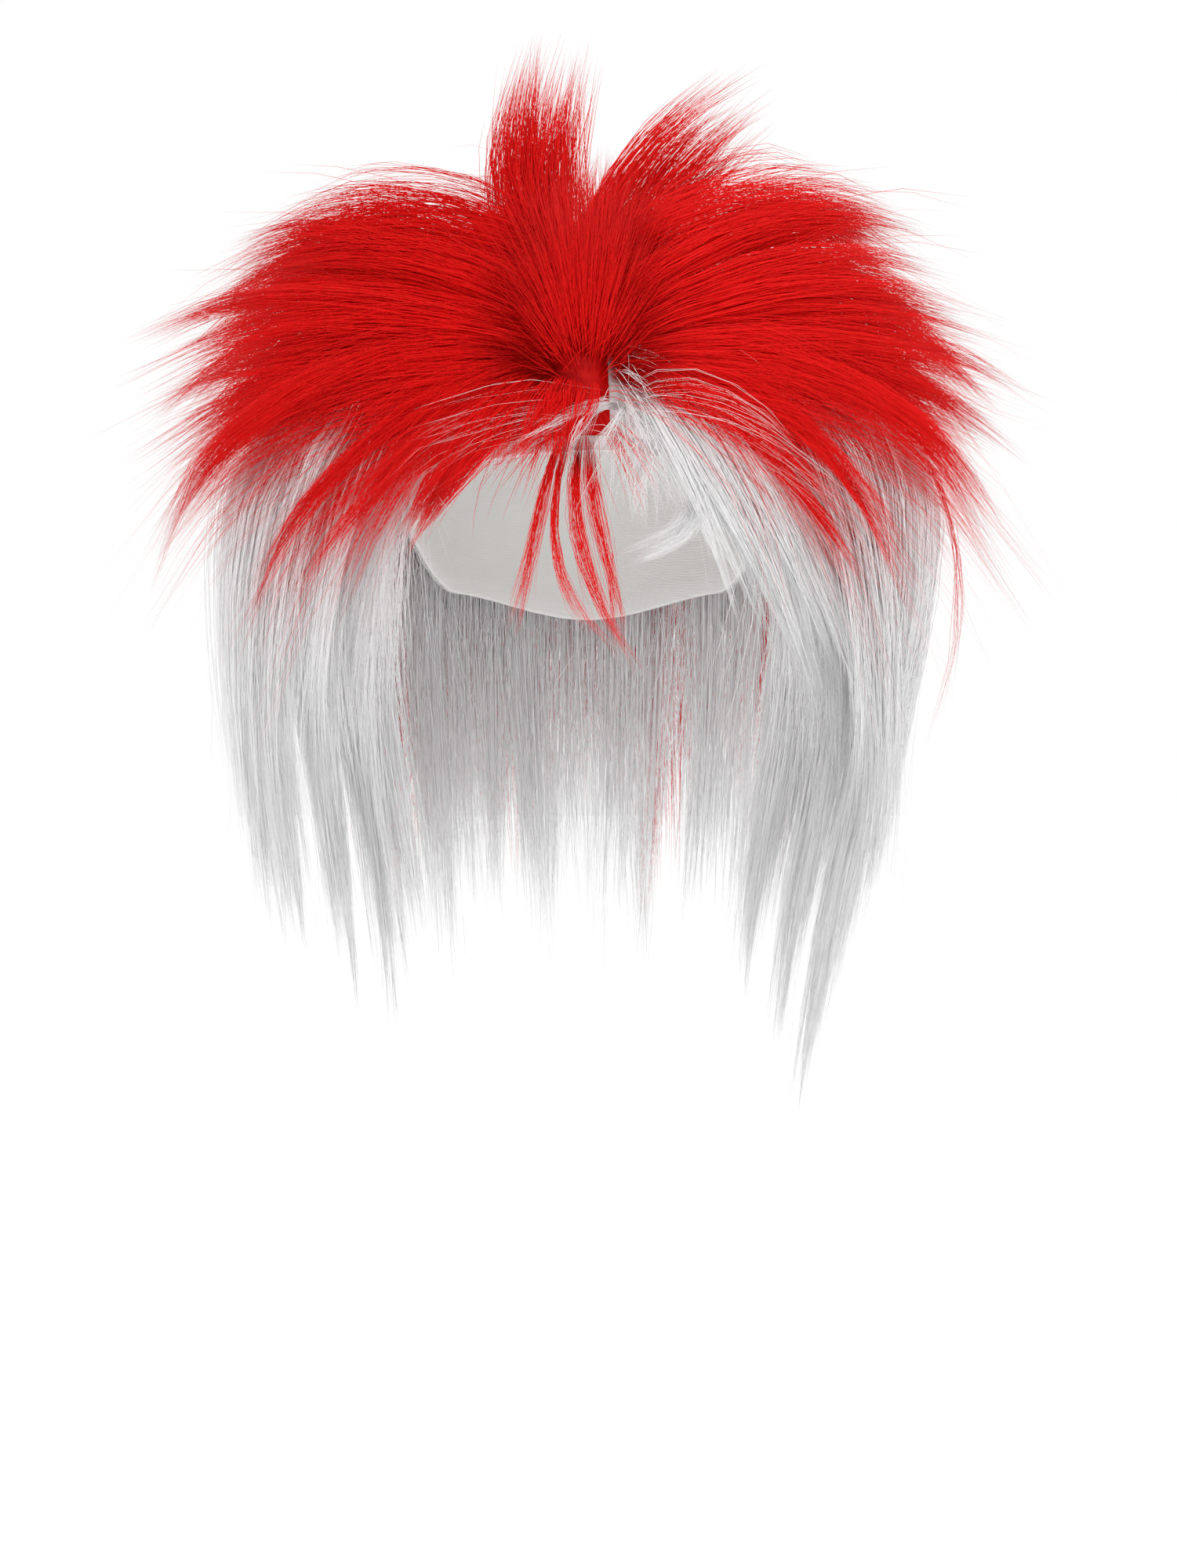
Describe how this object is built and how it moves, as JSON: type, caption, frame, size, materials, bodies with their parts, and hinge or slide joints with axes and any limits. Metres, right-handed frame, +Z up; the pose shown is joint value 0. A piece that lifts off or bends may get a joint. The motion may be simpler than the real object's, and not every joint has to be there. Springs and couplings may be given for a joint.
{
  "type": "mullet wig",
  "caption": "Spiky red and white mullet wig: a hollow stretch cap with swept red crown and fringe locks, a white forelock, white side hair and a long tail at the back.",
  "frame": {"origin": "inside of the cap's top, where the crown of the head bears", "axes": "+Z up along the head, -Y out of the face opening, +X to the wearer's left"},
  "size_m": [0.3766, 0.2506, 0.4504],
  "materials": {
    "red_fibre": "bright red synthetic fibre, satin",
    "white_fibre": "cool white synthetic fibre, satin",
    "cap_cloth": "off-white stretch cloth, matt"
  },
  "bodies": {
    "root": {"cap": "cap_cloth", "crown_hair": "red_fibre", "fringe_red": "red_fibre", "fringe_white": "white_fibre", "back_layer": "red_fibre", "side_hair_right": "white_fibre", "side_hair_left": "white_fibre", "back_hair": "white_fibre"}
  },
  "joints": []
}
